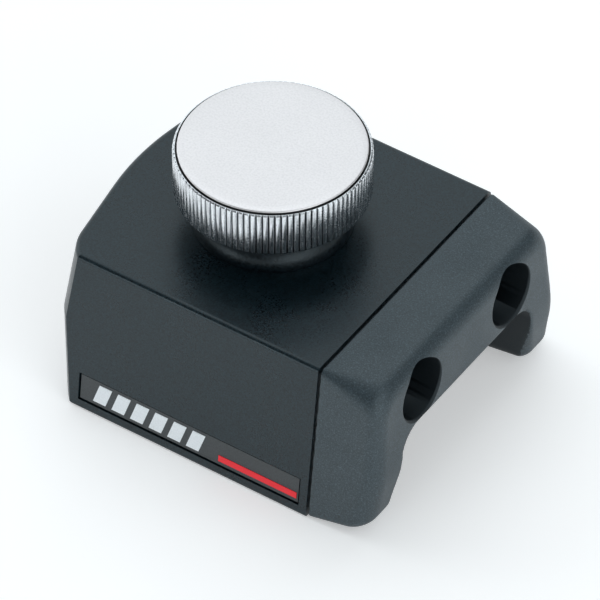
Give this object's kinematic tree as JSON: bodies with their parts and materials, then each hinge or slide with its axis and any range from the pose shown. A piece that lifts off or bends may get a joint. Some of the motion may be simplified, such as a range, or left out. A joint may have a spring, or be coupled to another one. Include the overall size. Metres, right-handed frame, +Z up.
{
  "type": "track pin stop",
  "caption": "Sliding stop for a boat's sail-handling track: arched saddle, elastomer end bumper, knurled knob that lifts and quarter-turns a spring-loaded locking plunger.",
  "frame": {"origin": "middle of the overall length and width, on the plane that the feet stand on", "axes": "+X along the track towards the bumper, +Z up through the knob; the plunger's axis is parallel to Z at x = -0.0047"},
  "size_m": [0.065, 0.056, 0.0452],
  "materials": {
    "anodised_body": "satin black hard anodised",
    "bumper_elastomer": "matte moulded elastomer",
    "stainless": "turned",
    "blackened_screw": "black oxide",
    "acetal": "machined",
    "bronze": "turned",
    "seal_rubber": "smooth",
    "boot_rubber": "matte moulded",
    "spring_steel": "drawn wire",
    "knurled_chrome": "bright knurled",
    "satin_disc": "fine bead blasted",
    "label_grey": "matte",
    "label_white": "printed",
    "label_red": "printed"
  },
  "bodies": {
    "saddle": {"body_block": "anodised_body", "bumper": "bumper_elastomer", "bumper_plate": "stainless", "bumper_screws": "blackened_screw", "thread_inserts": "stainless", "bumper_dowels": "stainless", "slide_liner_near": "acetal", "slide_liner_far": "acetal", "liner_screws": "stainless", "wear_pad": "acetal", "wear_pad_screws": "stainless", "guide_bush": "bronze", "barrel": "stainless", "flange_seal": "seal_rubber", "lock_ring": "stainless", "collar": "boot_rubber", "spring_seat": "acetal", "spring": "spring_steel", "label_strip_near": "label_grey", "label_strip_far": "label_grey", "label_marks": "label_white", "label_stripes": "label_red"},
    "lifter": {"thrust_washer": "acetal"},
    "plunger": {"plunger_pin": "stainless", "cross_pin": "stainless", "knob_shell": "knurled_chrome", "knob_screw": "stainless", "knob_disc": "satin_disc"}
  },
  "joints": [
    {"name": "knob_lift", "type": "slide", "parent": "saddle", "child": "lifter", "axis": [0, 0, 1], "range_m": [0, 0.0065], "stiffness_N_per_m": 720, "springref_m": -0.007, "deforming": ["spring"]},
    {"name": "knob_turn", "type": "hinge", "parent": "lifter", "child": "plunger", "pos_m": [-0.00471, 0, 0.036], "axis": [0, 0, 1], "range_deg": [0, 90]}
  ]
}
